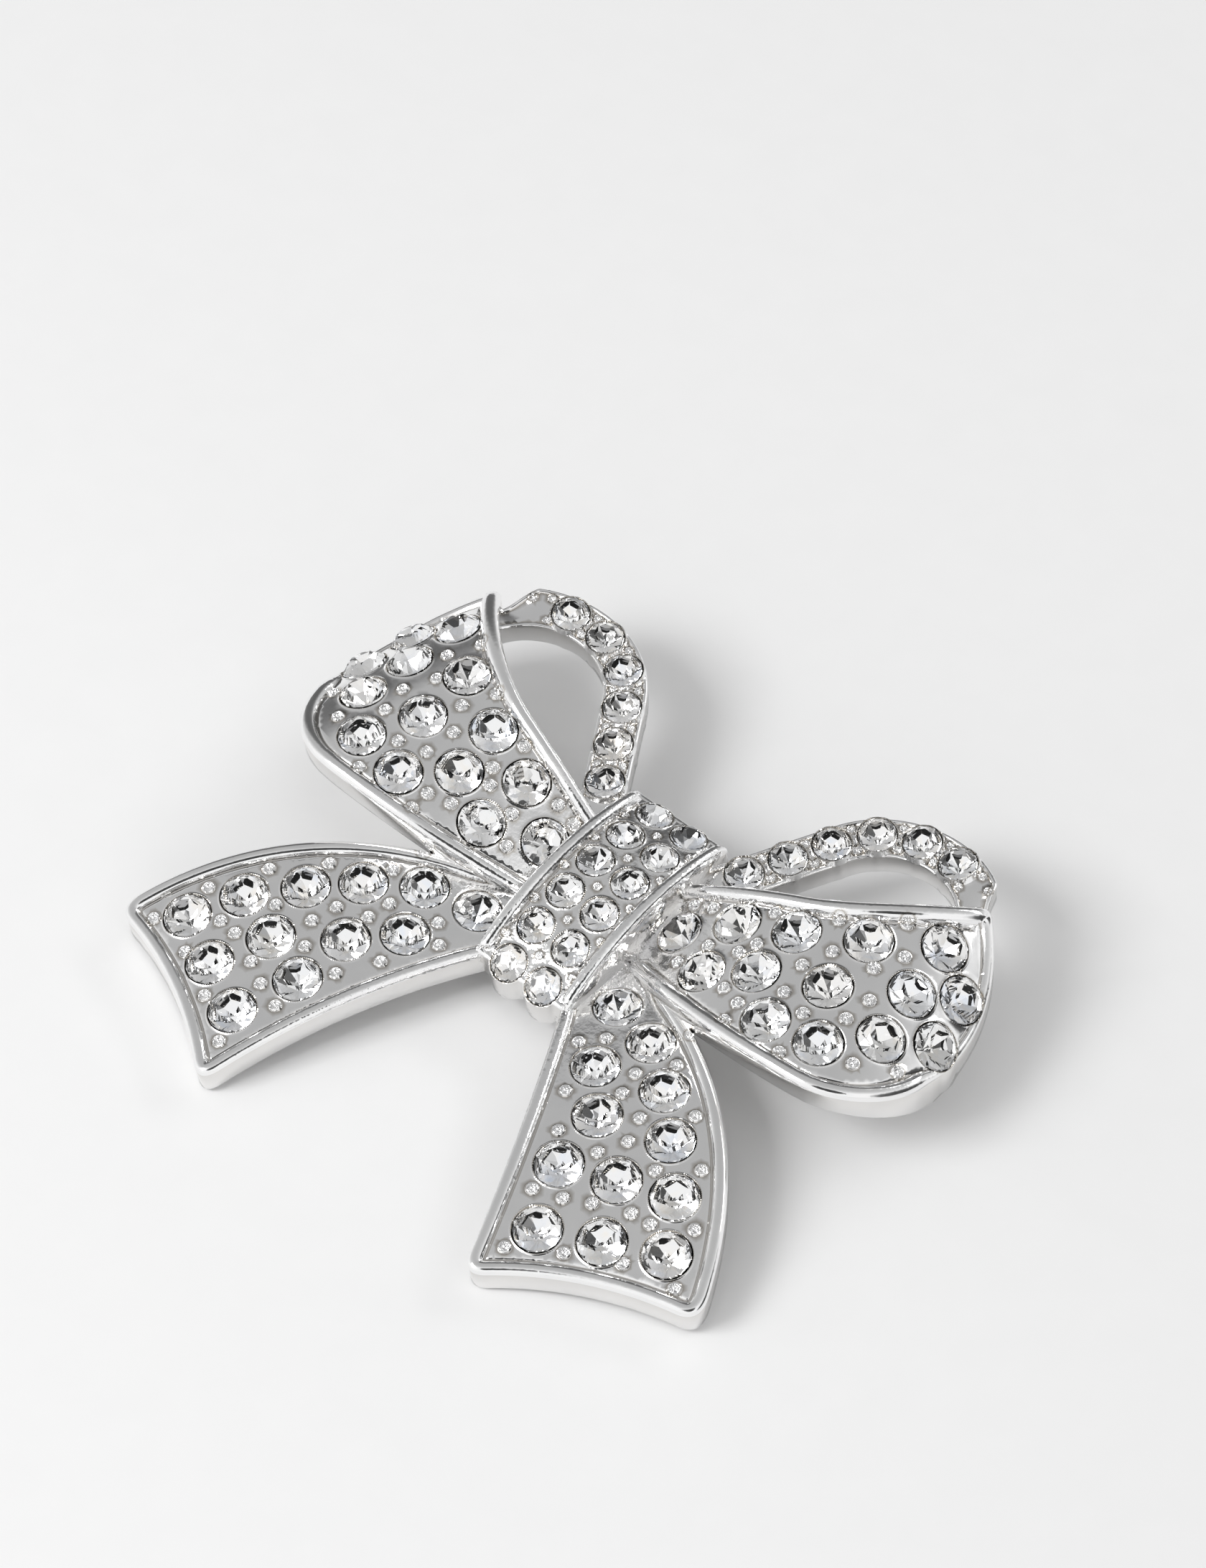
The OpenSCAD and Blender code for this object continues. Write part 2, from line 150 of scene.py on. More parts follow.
class Arch:
    """A ribbon bent over an arch along its own X. Unrolled it is flat: S along, W across."""

    def __init__(self, turn, top_x, top_z, r_in, r_out, thick=RIBBON_T):
        """The arch's top, its radii towards the knot and away from it, and its turn about Z."""
        self.turn, self.top_x, self.top_z = turn, top_x, top_z
        self.r_in, self.r_out, self.thick = r_in, r_out, thick

    def radius(self, x):
        """The arch's radius on the side of its top where x is."""
        return np.where(x < self.top_x, self.r_in, self.r_out)

    def unroll(self, xy, level):
        """Places seen from the front, on the surface a level below the rim."""
        xy = np.asarray(xy, float).reshape(-1, 2)
        r = self.radius(xy[:, 0])
        angle = np.arcsin(np.clip((xy[:, 0] - self.top_x) / (r - level), -1, 1))
        return np.stack([self.top_x + (r - RIM_H) * angle, xy[:, 1]], 1)

    def place(self, sw, height):
        """Unrolled places, at a height over the field, in the bow's plane."""
        sw = np.asarray(sw, float).reshape(-1, 2)
        r = self.radius(sw[:, 0])
        angle = (sw[:, 0] - self.top_x) / (r - RIM_H)
        out = r - RIM_H + height
        xyz = np.stack([self.top_x + out * np.sin(angle), sw[:, 1],
                        self.top_z - r + out * np.cos(angle)], 1)
        return turned(xyz, self.turn)

    def under(self, xyz):
        """Height of the back of the ribbon at places in the bow's plane."""
        x = turned(xyz, -self.turn)[:, 0] - self.top_x
        r = self.radius(x + self.top_x)
        inner = r - self.thick
        z = self.top_z - r + np.sqrt(np.maximum(inner ** 2 - x ** 2, 0))
        return np.maximum(z, BACK_Z)


class Strand:
    """The back of the loop, laid out along X: a straight run and a turn, rising to the fold."""

    def unroll(self, xy, level):
        """Places seen from the front, which for this nearly flat ribbon stay as they are."""
        return np.asarray(xy, float).reshape(-1, 2)

    def place(self, sw, height):
        """Flat places, at a height over the field, in the bow's plane."""
        sw = np.asarray(sw, float).reshape(-1, 2)
        slope = np.arcsin(np.clip((sw[:, 0] - RISE_X) / RISE_R, 0, 1))
        z = STRAND_TOP + RISE_R * (1 - np.cos(slope))
        return np.stack([sw[:, 0] - np.sin(slope) * height, sw[:, 1], z + np.cos(slope) * height], 1)

    def under(self, xyz):
        """Height of the back of the strand at places in the bow's plane."""
        slope = np.arcsin(np.clip((xyz[:, 0] - RISE_X) / RISE_R, 0, 1))
        return np.maximum(STRAND_TOP - STRAND_T + RISE_R * (1 - np.cos(slope)), BACK_Z)


KNOT_SOLID = 30.0    # thicker than the bow is deep: the knot goes down to the flat back

TAIL = Arch(TAIL_TURN, top_x=19.5, top_z=0.45, r_in=55.0, r_out=55.0)
LOOP = Arch(LOOP_TURN, top_x=17.0, top_z=2.9, r_in=24.9, r_out=10.9)
KNOT = Arch(90.0, KNOT_Y, KNOT_TOP + RIM_H, KNOT_R + RIM_H, KNOT_R + RIM_H, KNOT_SOLID)
STRAND = Strand()


# ---- Outlines ------------------------------------------------------------------------

SAMPLE = 0.13        # spacing of the points along an outline


def arc(a, b, rise):
    """Points of an arc from a to b, without b; rise is to the left of the way."""
    a, b = np.array(a, float), np.array(b, float)
    way = b - a
    chord = np.linalg.norm(way)
    steps = max(int(chord / SAMPLE), 2)
    if rise == 0:
        t = np.linspace(0, 1, steps, endpoint=False)[:, None]
        return a + way * t
    along = way / chord
    left = np.array([-along[1], along[0]])
    r = (chord * chord / 4 + rise * rise) / (2 * rise)
    half = math.asin(chord / 2 / r)
    t = half * (2 * np.arange(steps) / steps - 1)
    middle = (a + b) / 2
    return middle + np.outer(r * np.sin(t), along) + np.outer(rise - r + r * np.cos(t), left)


def outline(sides, corner):
    """A closed outline from (start, rise, rim share) sides, with rounded corners.
    Returns its points and the share of a full rim at each."""
    pieces, shares = [], []
    full_cut = max(int(corner / SAMPLE), 1)
    for (a, rise, share), (b, _, _) in zip(sides, sides[1:] + sides[:1]):
        run = arc(a, b, rise)
        cut = max(min(full_cut, len(run) // 2 - 1), 1)
        pieces.append(run[cut:len(run) - cut + 1])
        shares.append(np.full(len(pieces[-1]), share))
    points, share = [], []
    for i, run in enumerate(pieces):
        after_i = (i + 1) % len(pieces)
        after = pieces[after_i]
        points.append(run)
        share.append(shares[i])
        corner_at = np.array(sides[after_i][0], float)
        t = np.linspace(0, 1, 2 * full_cut + 1)[1:-1, None]
        points.append(run[-1] * (1 - t) ** 2 + corner_at * 2 * t * (1 - t) + after[0] * t ** 2)
        blend = t[:, 0] * t[:, 0] * (3 - 2 * t[:, 0])
        share.append(shares[i][-1] * (1 - blend) + shares[after_i][0] * blend)
    return np.concatenate(points), np.concatenate(share)


def evenly(points, values):
    """The closed outline again, with its points at one spacing."""
    closed = np.vstack([points, points[:1]])
    run = np.concatenate([[0], np.cumsum(np.linalg.norm(np.diff(closed, axis=0), axis=1))])
    count = int(run[-1] / SAMPLE)
    at = np.linspace(0, run[-1], count, endpoint=False)
    value = np.interp(at, run, np.append(values, values[0]))
    return np.stack([np.interp(at, run, closed[:, k]) for k in (0, 1)], 1), value


def smooth_loop(values, reach):
    """A closed list averaged over its neighbours."""
    total = np.zeros_like(values)
    for k in range(-reach, reach + 1):
        total += np.roll(values, k, axis=0)
    return total / (2 * reach + 1)


def inward(points):
    """Unit normals into a closed outline, whichever way it runs."""
    way = np.roll(points, -1, axis=0) - np.roll(points, 1, axis=0)
    way /= np.linalg.norm(way, axis=1)[:, None]
    x, y = points.T
    area = np.sum(x * np.roll(y, -1) - np.roll(x, -1) * y)
    sign = 1 if area > 0 else -1
    return np.stack([-way[:, 1], way[:, 0]], 1) * sign


def round_stones(points, stones, reach):
    """Pushes an outline out round the seats that cross it."""
    for centre in stones:
        away = points - centre
        d = np.linalg.norm(away, axis=1)
        close = d < reach
        points[close] = centre + away[close] / d[close, None] * reach
    return points


# ---- The relief of a casting ---------------------------------------------------------

# Where points lie across the rim and its groove, in widths of the rim
RIM_STEPS = (0.03, 0.09, 0.19, 0.33, 0.5, 0.67, 0.81, 0.91, 0.97, 1.0, 1.06, 1.14, 1.24)
RIM_LEAST = 0.05      # the least width a rim is reckoned with
GROOVE_DEPTH = 0.07   # under a rim of full height
GROOVE_W = 0.24       # in widths of the rim


def rim_relief(d, width, height):
    """A half-round rim with a fine groove at its inner foot."""
    u = d / np.maximum(width, RIM_LEAST)
    tube = height * np.sqrt(np.clip(1 - (2 * u - 1) ** 2, 0, 1))
    groove = -GROOVE_DEPTH * np.sin(np.pi * np.clip((u - 1) / GROOVE_W, 0, 1)) * height / RIM_H
    return np.where(u < 1, tube, groove)


CULET = 0.4           # depth of a crystal's point under its girdle, in diameters
SEAT_ROOM = 0.08      # between the crystal's point and the bottom of its seat
SEAT_WALL = 4         # the seat profile's step at the top of its wall


def seat_profile(stone_d, collar):
    """Radii and heights of a crystal's seat, from its centre to the foot of its lip."""
    r = stone_d / 2 + GLUE_GAP
    depth = CULET * stone_d + SEAT_ROOM
    return ([0, 0.5 * r, r - 0.10, r - 0.03, r, r + 0.03, r + 0.06, r + 0.10, r + 0.14, r + 0.20],
            [-depth, -0.55 * depth, -0.14 * depth, collar - 0.15, collar + 0.01, collar + 0.045,
             collar + 0.05, collar + 0.035, 0.6 * collar + 0.005, 0])


# A bead is a ring round a small dome: radii and heights, from its centre out
BEAD_PROFILE = ([0, 0.09, 0.15, 0.19, 0.23, 0.28, 0.31, 0.36, 0.40, 0.43, 0.50],
                [0.27, 0.24, 0.15, 0.02, -0.03, -0.01, 0.12, 0.16, 0.12, 0.02, 0])
BEAD_RING = 5         # the bead profile's step at the inner foot of the ring
BEAD_SINK = 0.4       # what is left of the rim's height inside that ring

# How wide the painted shade line is at a seat's wall, round a bead and inside the rim, and how
# dark the last two are beside the first
SEAT_CREVICE = 0.08
BEAD_CREVICE = 0.09
RIM_CREVICE = 0.08
BEAD_DARK = 0.7
RIM_DARK = 0.8


def crevice(distance, width):
    """1 where a distance is 0, fading to 0 at a width."""
    return np.clip(1 - np.abs(distance) / width, 0, 1)


def nearest(points, centres):
    """Distance to the nearest of some centres."""
    return np.min([np.linalg.norm(points - c, axis=1) for c in centres], axis=0)


BATCH = 1500          # points measured at once, to spare memory


def edge_distance(points, edge):
    """Distance to a closed outline, and the index of the outline's nearest side."""
    a, b = edge, np.roll(edge, -1, axis=0)
    ab = b - a
    length = np.sum(ab * ab, axis=1)
    best, index = np.empty(len(points)), np.empty(len(points), int)
    for start in range(0, len(points), BATCH):
        batch = slice(start, start + BATCH)
        p = points[batch, None, :]
        t = np.clip(np.sum((p - a) * ab, axis=2) / length, 0, 1)
        d = np.linalg.norm(p - (a + t[..., None] * ab), axis=2)
        i = np.argmin(d, axis=1)
        best[batch] = d[np.arange(len(i)), i]
        index[batch] = i
    return best, index


def inside(points, edge):
    """Whether points are inside a closed outline."""
    x, y = points[:, 0], points[:, 1]
    result = np.zeros(len(points), bool)
    for (x0, y0), (x1, y1) in zip(edge, np.roll(edge, -1, axis=0)):
        crosses = (y0 > y) != (y1 > y)
        if y0 != y1:
            result ^= crosses & (x < (x1 - x0) * (y - y0) / (y1 - y0) + x0)
    return result


def thinned(groups, gap):
    """All the points of some groups, without those nearer than a gap to an earlier one."""
    cells, kept = {}, []
    for points in groups:
        for p in points:
            i, j = math.floor(p[0] / gap), math.floor(p[1] / gap)
            near = [q for di in (-1, 0, 1) for dj in (-1, 0, 1) for q in cells.get((i + di, j + dj), ())]
            if all((p[0] - q[0]) ** 2 + (p[1] - q[1]) ** 2 > gap * gap for q in near):
                cells.setdefault((i, j), []).append(p)
                kept.append(p)
    return np.array(kept)


def rings(centres, radii, step):
    """Rings of points about some centres; a radius of 0 gives the centre alone."""
    out = []
    for c in centres:
        for r in radii:
            n = max(int(2 * math.pi * r / step), 8)
            a = np.arange(n) * 2 * math.pi / n
            out.append(c + r * np.stack([np.cos(a), np.sin(a)], 1) if r else np.array([c]))
    return np.concatenate(out)


EPSILON = 1e-5        # points of a net that are nearer than this count as one


def triangles(points, count):
    """Triangles over the points, inside the outline that the first of them make: the places,
    the faces, and the points that each place is from."""
    out = delaunay_2d_cdt([Vector(p) for p in points], [], [list(range(count))], 1, EPSILON)
    return np.array([(v.x, v.y) for v in out[0]]), [tuple(f) for f in out[2]], out[3]


def hex_points(low, high, step):
    """A net of points a step apart."""
    rows = np.arange(low[1], high[1], step * math.sqrt(0.75))
    return np.array([(x + (k % 2) * step / 2, y) for k, y in enumerate(rows)
                     for x in np.arange(low[0], high[0], step)])


RING_STEP = 0.15      # spacing of the points round a seat
BEAD_STEP = 0.09      # and round a bead
FIELD_STEP = 0.36     # and on the open field
BACK_STEP = 0.9       # and on the back
BACK_MARGIN = 0.35    # between the back's edge and the points inside it
SEAT_MARGIN = 0.1     # between a seat and the points of the field
BEAD_MARGIN = 0.08    # and a bead and those
EDGE_MARGIN = 0.015   # between the outline and any other point
POINT_GAP = 0.035     # the least space between two points of the face
RING_ROOM = 0.93      # how much of its way in a point under the rim keeps from every side
LEAST_SHARE = 0.02    # where the rim is lower than this share, it has no points of its own
WALL_DROP = 0.5       # the most of the wall's height that its upper steps take
WALL_LIFT = 0.4       # and that its lower steps take

# The side wall's steps from the rim to the back: how far each goes in, and its drop under the
# rim or, once that is None, its lift over the back
WALL_STEPS = ((0.05, 0.05, None), (0.09, 0.13, None), (0.05, 0.26, None),
              (0.04, None, 0.20), (0.10, None, 0.07), (0.22, None, 0.0))

# How dark the painted shade is on the side wall under the rim, at its foot and on the back
WALL_SHADE = 0.25
FOOT_SHADE = 0.1
BACK_SHADE = 0.2


class Casting:
    """One casting: the outline with its rim shares, and what stands on its field."""

    def __init__(self, sheet, edge, stones, stone_d, beads, bead_scale=1.0, rim_w=RIM_W, rim_h=RIM_H,
                 collar=0.0, lip=0.1, lip_share=0.12, blend=5, swell=None, scoop=None):
        """edge is an outline and its rim shares; it keeps a lip's width outside every seat.
        collar lifts the seats over the field. swell widens the rim and scoop lowers the field
        by place. blend is how many neighbours the rim shares are averaged over."""
        self.sheet, self.stone_d, self.bead_scale = sheet, stone_d, bead_scale
        self.rim_w, self.rim_h, self.scoop, self.collar = rim_w, rim_h, scoop, collar
        self.stones = sheet.unroll(stones, RIM_H)
        self.beads = sheet.unroll(beads, RIM_H)
        points, share = edge
        points, share = evenly(sheet.unroll(points, 0), share)
        lip_r = stone_d / 2 + GLUE_GAP + lip
        crossed = nearest(points, self.stones) < lip_r
        points = round_stones(points, self.stones, lip_r)
        share = np.where(crossed, lip_share, share)
        if swell:
            share = share * swell(points)
        self.edge, share = evenly(points, share)
        self.share = smooth_loop(share, blend)

    def relief(self, points):
        """Heights over the field and painted shade values, dark at seats, beads and the rim's foot, at
        unrolled points.
        """
        d, index = edge_distance(points, self.edge)
        share = self.share[index]
        rim_w = self.rim_w * np.sqrt(share)
        height = rim_relief(d, rim_w, self.rim_h * share)
        if self.scoop:
            height = height + self.scoop(points)
        seat_r, seat_h = seat_profile(self.stone_d, self.collar)
        to_stone = nearest(points, self.stones)
        seat = np.interp(to_stone, seat_r, seat_h)
        bead_r = np.array(BEAD_PROFILE[0]) * self.bead_scale
        to_bead = nearest(points, self.beads)
        bead = np.interp(to_bead, bead_r, np.array(BEAD_PROFILE[1]) * self.bead_scale)
        on_bead = to_bead < bead_r[-1]
        height = np.where(on_bead, np.maximum(height, bead), height)
        core = to_bead < bead_r[BEAD_RING]
        height = np.where(core, np.maximum(bead, height * BEAD_SINK), height)
        on_lip = to_stone < seat_r[-1]
        height = np.where(on_lip, np.maximum(height, seat), height)
        in_seat = to_stone < seat_r[SEAT_WALL]
        height = np.where(in_seat, np.minimum(seat, height), height)
        # Painted shade: dark lines at the seat walls, round the beads and at the rim's inner foot, where
        # these crevices fall in shade
        at_seat = crevice(to_stone - seat_r[SEAT_WALL], SEAT_CREVICE)
        at_bead = crevice(to_bead - bead_r[-1], BEAD_CREVICE) * BEAD_DARK
        at_rim = crevice(d - 1.1 * rim_w, RIM_CREVICE) * np.clip(share * 2, 0, 1) * RIM_DARK
        return height, np.maximum(np.maximum(at_seat, at_bead), at_rim)

    def build(self):
        """The casting's vertices, faces and painted shade values, in the bow's plane."""
        edge, normal = self.edge, inward(self.edge)
        groups = []
        for k in RIM_STEPS:
            away = k * self.rim_w * np.sqrt(self.share)
            ring = edge + normal * away[:, None]
            far_enough = edge_distance(ring, edge)[0] > away * RING_ROOM
            groups.append(ring[far_enough & (self.share > LEAST_SHARE)])
        seat_r = seat_profile(self.stone_d, self.collar)[0]
        bead_r = np.array(BEAD_PROFILE[0]) * self.bead_scale
        groups.append(rings(self.stones, seat_r, RING_STEP))
        groups.append(rings(self.beads, bead_r, BEAD_STEP))
        net = hex_points(edge.min(0), edge.max(0), FIELD_STEP)
        free = nearest(net, self.stones) > seat_r[-1] + SEAT_MARGIN
        free &= nearest(net, self.beads) > bead_r[-1] + BEAD_MARGIN
        groups.append(net[free])
        inner = np.concatenate(groups)
        inner = inner[inside(inner, edge)]
        inner = inner[edge_distance(inner, edge)[0] > EDGE_MARGIN]
        flat, faces, source = triangles(thinned([edge, inner], POINT_GAP), len(edge))
        height, painted_shade = self.relief(flat)
        top = self.sheet.place(flat, height)
        at_edge = {s: i for i, sources in enumerate(source) for s in sources if s < len(edge)}
        loop = [at_edge[i] for i in range(len(edge))]
        return self.close(top, faces, painted_shade, loop)

    def close(self, top, faces, painted_shade, loop):
        """Adds the side wall and the back to the face, with their painted shade; loop is the face's
        edge.
        """
        rim = top[loop]
        normal = inward(rim[:, :2])
        verts, shade = [top], [painted_shade]
        below = self.sheet.under(rim)
        total = rim[:, 2] - below
        last, offset = np.array(loop), len(top)
        for inset, drop, lift in WALL_STEPS:
            ring = rim.copy()
            ring[:, :2] += normal * inset
            if drop is None:
                ring[:, 2] = below + np.minimum(lift, total * WALL_LIFT)
            else:
                ring[:, 2] -= np.minimum(drop, total * WALL_DROP)
            here = offset + np.arange(len(ring))
            quads = np.stack([last, here, np.roll(here, -1), np.roll(last, -1)], 1)
            faces.extend(tuple(q) for q in quads[:, ::-1])
            verts.append(ring)
            # Painted shade on the wall, darker just under the rim than at its foot
            shade.append(np.full(len(ring), WALL_SHADE if drop else FOOT_SHADE))
            last, offset = here, offset + len(ring)
        back_edge = verts[-1][:, :2]
        net = hex_points(back_edge.min(0), back_edge.max(0), BACK_STEP)
        net = net[inside(net, back_edge)]
        net = net[edge_distance(net, back_edge)[0] > BACK_MARGIN]
        flat, back_faces, source = triangles(np.concatenate([back_edge, net]), len(back_edge))
        flat = np.column_stack([flat, np.zeros(len(flat))])
        flat[:, 2] = self.sheet.under(flat)
        remap, extra = {}, []
        for i, sources in enumerate(source):
            own = [s for s in sources if s < len(back_edge)]
            if own:
                remap[i] = last[own[0]]
            else:
                remap[i] = offset + len(extra)
                extra.append(flat[i])
        verts.append(np.array(extra).reshape(-1, 3))
        # Painted shade on the back, which faces the floor
        shade.append(np.full(len(extra), BACK_SHADE))
        faces.extend(tuple(remap[i] for i in reversed(f)) for f in back_faces)
        return np.concatenate(verts), faces, np.concatenate(shade)


# ---- Objects -------------------------------------------------------------------------

def add_mesh(name, verts, faces, materials, body, replaced, painted_shade=None, sharp=40):
    """A named piece on a body, from vertices in the bow's plane. sharp is the angle in degrees
    from which an edge stays hard, or 0 where every facet is flat."""
    mesh = bpy.data.meshes.new(name)
    mesh.from_pydata([tuple(v) for v in lie(verts)], [], [tuple(int(i) for i in f) for f in faces])
    for material in materials:
        mesh.materials.append(material)
    # The per-vertex painted shade, which darkens the plate's colour in its crevices and under the rim
    if painted_shade is not None:
        layer = mesh.attributes.new("painted_shade", "FLOAT", "POINT")
        layer.data.foreach_set("value", np.asarray(painted_shade, np.float32))
    mesh.validate()
    piece = bpy.data.objects.new(name, mesh)
    bpy.context.scene.collection.objects.link(piece)
    if sharp:
        mesh.shade_smooth()
        mesh.set_sharp_from_angle(angle=math.radians(sharp))
    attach(piece, body)
    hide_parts(replaced)
    return piece


def mirrored(verts, faces):
    """The same shape on the other side of the knot."""
    return verts * np.array([-1, 1, 1]), [tuple(reversed(f)) for f in faces]


# ---- Materials -----------------------------------------------------------------------

def node_material(name):
    """A new material, with its node tree and its shader."""
    material = bpy.data.materials.new(name)
    material.use_nodes = True
    tree = material.node_tree
    shader = tree.nodes["Principled BSDF"]
    return material, tree, shader


def position(tree):
    """A point's place on its own body, in metres."""
    return tree.nodes.new("ShaderNodeTexCoord").outputs["Object"]


def noise(tree, scale, detail=3.0, place=None):
    """A noise over a place, or over the position, where its scale is in cells to the metre."""
    node = tree.nodes.new("ShaderNodeTexNoise")
    node.inputs["Scale"].default_value = scale
    node.inputs["Detail"].default_value = detail
    tree.links.new(place or position(tree), node.inputs["Vector"])
    return node.outputs["Fac"]


def maths(tree, operation, *values):
    """The result of a maths node on sockets or plain numbers."""
    node = tree.nodes.new("ShaderNodeMath")
    node.operation = operation
    for socket, value in zip(node.inputs, values):
        if isinstance(value, float):
            socket.default_value = value
        else:
            tree.links.new(value, socket)
    return node.outputs[0]


def ramp(tree, value, stops):
    """Colours by (value, colour) stops, the first and the last of them written first."""
    node = tree.nodes.new("ShaderNodeValToRGB")
    for stop, (at, colour) in zip(node.color_ramp.elements, stops):
        stop.position = at
        stop.color = colour
    for at, colour in stops[2:]:
        node.color_ramp.elements.new(at).color = colour
    tree.links.new(value, node.inputs["Fac"])
    return node.outputs["Color"]


def grey_ramp(tree, value, stops):
    """Greys by (value, grey) stops, in the same order."""
    return ramp(tree, value, [(at, (v, v, v, 1.0)) for at, v in stops])


def bumped(tree, shader, height, strength, distance):
    """Bumps on a shader's surface, a distance high in metres."""
    bump = tree.nodes.new("ShaderNodeBump")
    bump.inputs["Strength"].default_value = strength
    bump.inputs["Distance"].default_value = distance
    tree.links.new(height, bump.inputs["Height"])
    tree.links.new(bump.outputs["Normal"], shader.inputs["Normal"])


GRAIN_FULL = 0.006    # how far from the middle the plate's coarse grain is full, in metres
GRAIN_END = 0.0125    # and where it ends


def plated_metal():
    """Bright silver-coloured plate: nearly a mirror, faintly uneven, with painted warm brown shade in
    the crevices, and coarser near the knot."""
    material, tree, shader = node_material("silver_plate")
    shader.inputs["Metallic"].default_value = 1.0
    painted_shade = tree.nodes.new("ShaderNodeAttribute")
    painted_shade.attribute_name = "painted_shade"
    tone = ramp(tree, noise(tree, 420), [
        (0.3, (0.92, 0.92, 0.925, 1)), (0.7, (0.97, 0.968, 0.965, 1))])
    mix = tree.nodes.new("ShaderNodeMix")
    mix.data_type = "RGBA"
    # Painted shade: the per-vertex shade value mixes the plate towards this dark warm brown
    tree.links.new(painted_shade.outputs["Fac"], mix.inputs["Factor"])
    tree.links.new(tone, mix.inputs["A"])
    mix.inputs["B"].default_value = (0.34, 0.30, 0.24, 1)
    tree.links.new(mix.outputs["Result"], shader.inputs["Base Color"])
    rough = grey_ramp(tree, noise(tree, 700), [(0.3, 0.07), (0.75, 0.17)])
    tree.links.new(rough, shader.inputs["Roughness"])
    apart = tree.nodes.new("ShaderNodeSeparateXYZ")
    tree.links.new(position(tree), apart.inputs[0])
    near = tree.nodes.new("ShaderNodeMapRange")
    near.interpolation_type = "SMOOTHSTEP"
    near.inputs["From Min"].default_value = GRAIN_END
    near.inputs["From Max"].default_value = GRAIN_FULL
    tree.links.new(maths(tree, "ABSOLUTE", apart.outputs["X"]), near.inputs["Value"])
    grain = maths(tree, "MULTIPLY", near.outputs["Result"], noise(tree, 3200, 2.0))
    wave = maths(tree, "MULTIPLY_ADD", grain, 1.5, noise(tree, 700, 2.0))
    bumped(tree, shader, wave, 0.45, 0.00004)
    return material


def crystal_glass():
    """The clear crown of a crystal, faintly tinted."""
    material, tree, shader = node_material("crystal_glass")
    shader.inputs["Transmission Weight"].default_value = 1.0
    shader.inputs["IOR"].default_value = 1.42
    shader.inputs["Specular IOR Level"].default_value = 0.6
    tint = ramp(tree, noise(tree, 260, 1.0), [
        (0.3, (1.0, 0.985, 0.96, 1)), (0.7, (0.97, 0.985, 1.0, 1))])
    tree.links.new(tint, shader.inputs["Base Color"])
    shader.inputs["Roughness"].default_value = 0.0
    return material


def crystal_foil():
    """The mirror foil behind a crystal, with faint painted colours standing in for the light splitting.
    """
    material, tree, shader = node_material("crystal_foil")
    shader.inputs["Metallic"].default_value = 1.0
    # Painted dispersion: blue and orange tints on the foil stand in for the split light of the crystal's
    # fire
    tint = ramp(tree, noise(tree, 900, 1.0), [
        (0.0, (0.74, 0.84, 1.0, 1)), (1.0, (1.0, 0.92, 0.80, 1)),
        (0.40, (0.96, 0.96, 0.97, 1)), (0.60, (0.97, 0.97, 0.97, 1))])
    tree.links.new(tint, shader.inputs["Base Color"])
    rough = grey_ramp(tree, noise(tree, 1200), [(0.3, 0.01), (0.8, 0.05)])
    tree.links.new(rough, shader.inputs["Roughness"])
    return material


def steel_metal():
    """The finding's plated steel, drawn and brushed along the pin."""
    material, tree, shader = node_material("finding_steel")
    shader.inputs["Metallic"].default_value = 1.0
    stretch = tree.nodes.new("ShaderNodeMapping")
    stretch.inputs["Scale"].default_value = (60, 1600, 1600)
    tree.links.new(position(tree), stretch.inputs["Vector"])
    lines = noise(tree, 1.0, 4.0, stretch.outputs["Vector"])
    colour = grey_ramp(tree, lines, [(0.3, 0.60), (0.75, 0.74)])
    tree.links.new(colour, shader.inputs["Base Color"])
    rough = grey_ramp(tree, lines, [(0.3, 0.18), (0.8, 0.34)])
    tree.links.new(rough, shader.inputs["Roughness"])
    bumped(tree, shader, lines, 0.3, 0.00002)
    return material


PLATE = plated_metal()
GLASS = crystal_glass()
FOIL = crystal_foil()
STEEL = steel_metal()


# ---- Castings ------------------------------------------------------------------------

def row_places(rows):
    """All the crystals' places, a list for each row."""
    out = []
    for first, last, count in rows:
        first, last = np.array(first, float), np.array(last, float)
        out.append([first + (last - first) * i / max(count - 1, 1) for i in range(count)])
    return out


def strand_angle(along):
    """Where on the turn's circle a place along the strand is; before 0 the strand is straight."""
    return math.radians(TURN_START) - max(along, 0) / TURN_R


def strand_place(along, across=0.0):
    """A place on the strand, from its length along the middle and its offset outwards."""
    a = strand_angle(along)
    return np.array([TURN_X + (TURN_R + across) * math.cos(a) + min(along, 0) * math.sin(a),
                     TURN_Y + (TURN_R + across) * math.sin(a) - min(along, 0) * math.cos(a)])


def knot_place(x, angle):
    """A place on the knot in its own frame, whose X runs up the bow."""
    return np.array([KNOT_Y + KNOT_R * math.sin(math.radians(angle)), -x])


def knot_angle(i):
    """How far from the knot's top its row i is, in degrees."""
    return ((KNOT_ROWS - 1) / 2 - i) * KNOT_PITCH


TAIL_PLACES = row_places(TAIL_ROWS)
LOOP_PLACES = [[np.array(p, float) for p in row] for row in LOOP_ROWS]
STRAND_PLACES = [strand_place(STRAND_FIRST + i * STRAND_PITCH) for i in range(STRAND_STONES)]


TAIL_CORNER = 1.7     # how far from a corner its rounding starts
LOOP_CORNER = 0.8
KNOT_CORNER = 0.35


def tail_casting():
    """A tail, as wide as its crystals at the knot and flaring to a broad end."""
    sides = [((7, 3.4), 2.9, 1), ((31.0, 7.15), -1.05, 1), ((28.3, -7.4), -0.5, 1),
             ((8, -2.6), 0, 0.1), ((5.4, -2.4), 0, 0.1), ((2.6, 0.4), 0, 0.1)]
    stones = [p for row in TAIL_PLACES for p in row]
    return Casting(TAIL, outline(sides, TAIL_CORNER), stones, PANEL_STONE, TAIL_BEADS)


SWELL = 0.8           # how much the upper rim grows on its way to the fold
SWELL_START = 10.0    # along the front
SWELL_RUN = 14.0


